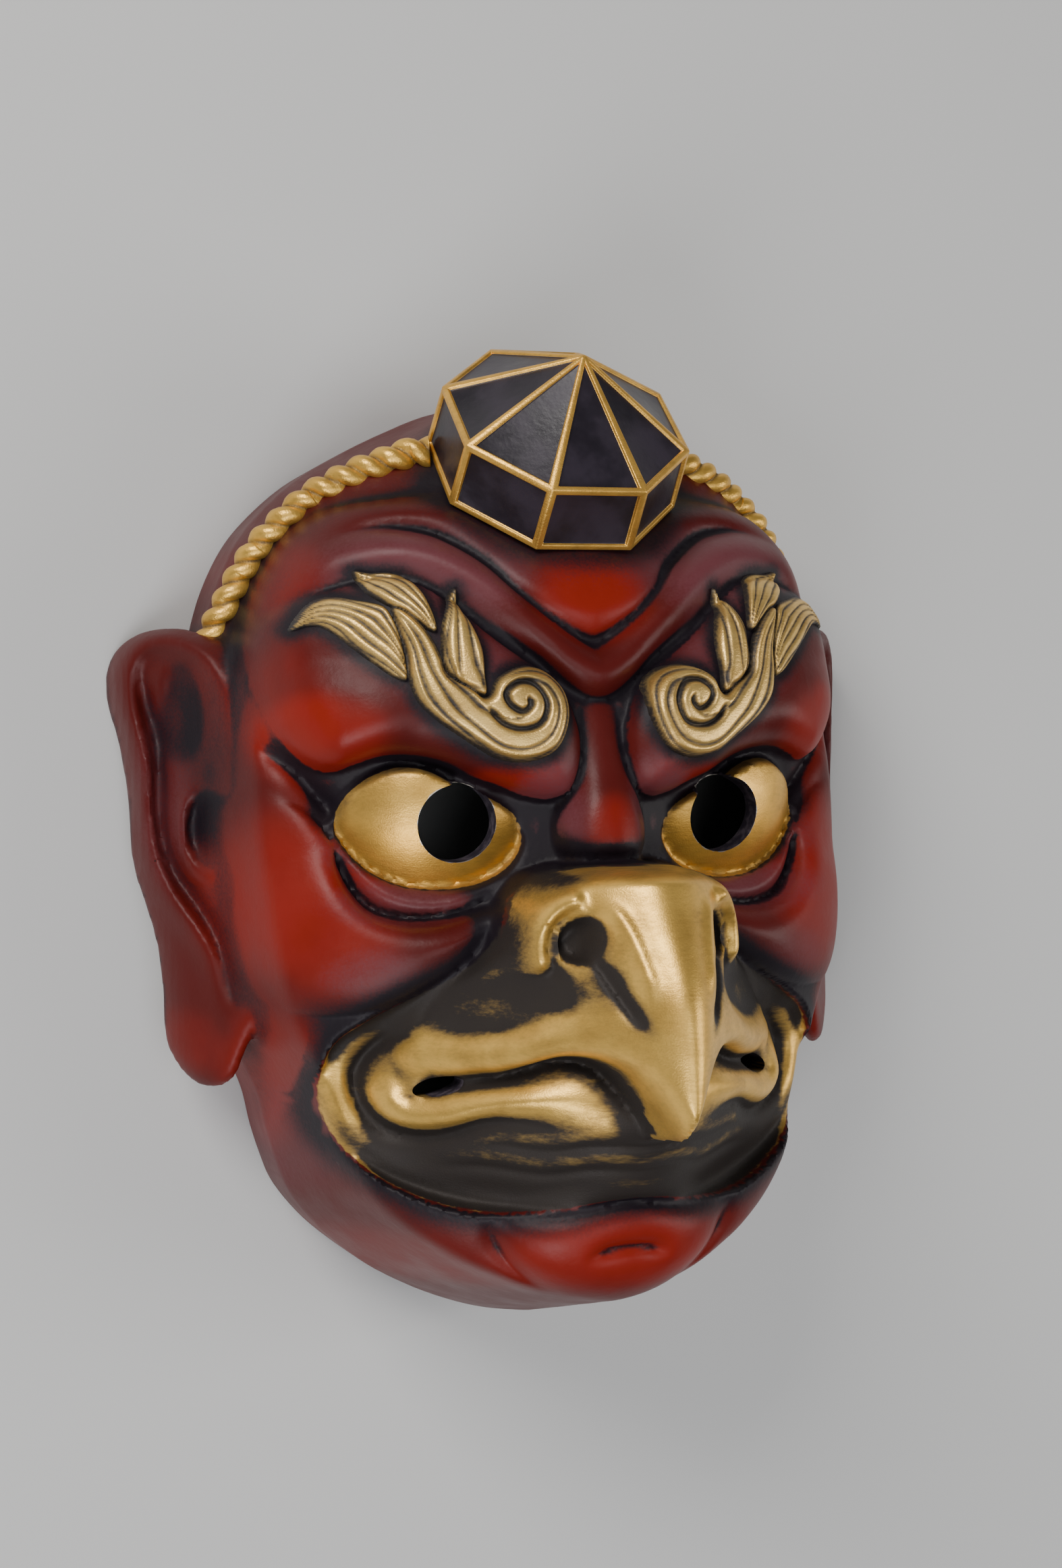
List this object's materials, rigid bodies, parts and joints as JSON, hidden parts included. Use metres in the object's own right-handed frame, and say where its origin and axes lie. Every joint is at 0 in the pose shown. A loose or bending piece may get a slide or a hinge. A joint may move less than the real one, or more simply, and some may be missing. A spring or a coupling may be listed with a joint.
{
  "type": "tengu mask",
  "caption": "Hollow face mask of a crow-beaked tengu with long ears, flame eyebrows, a twisted rope round the brow and a small eight-sided cap, lying face up on its rim.",
  "frame": {"origin": "middle of the footprint on the plane the rim lies on", "axes": "+X to the viewer's right looking down on the face, +Y to the crown, +Z the way the face looks"},
  "size_m": [0.207, 0.2506, 0.1352],
  "materials": {
    "lacquered_resin": "satin airbrushed lacquer over cast resin"
  },
  "bodies": {
    "root": {"mask": "lacquered_resin"}
  },
  "joints": []
}
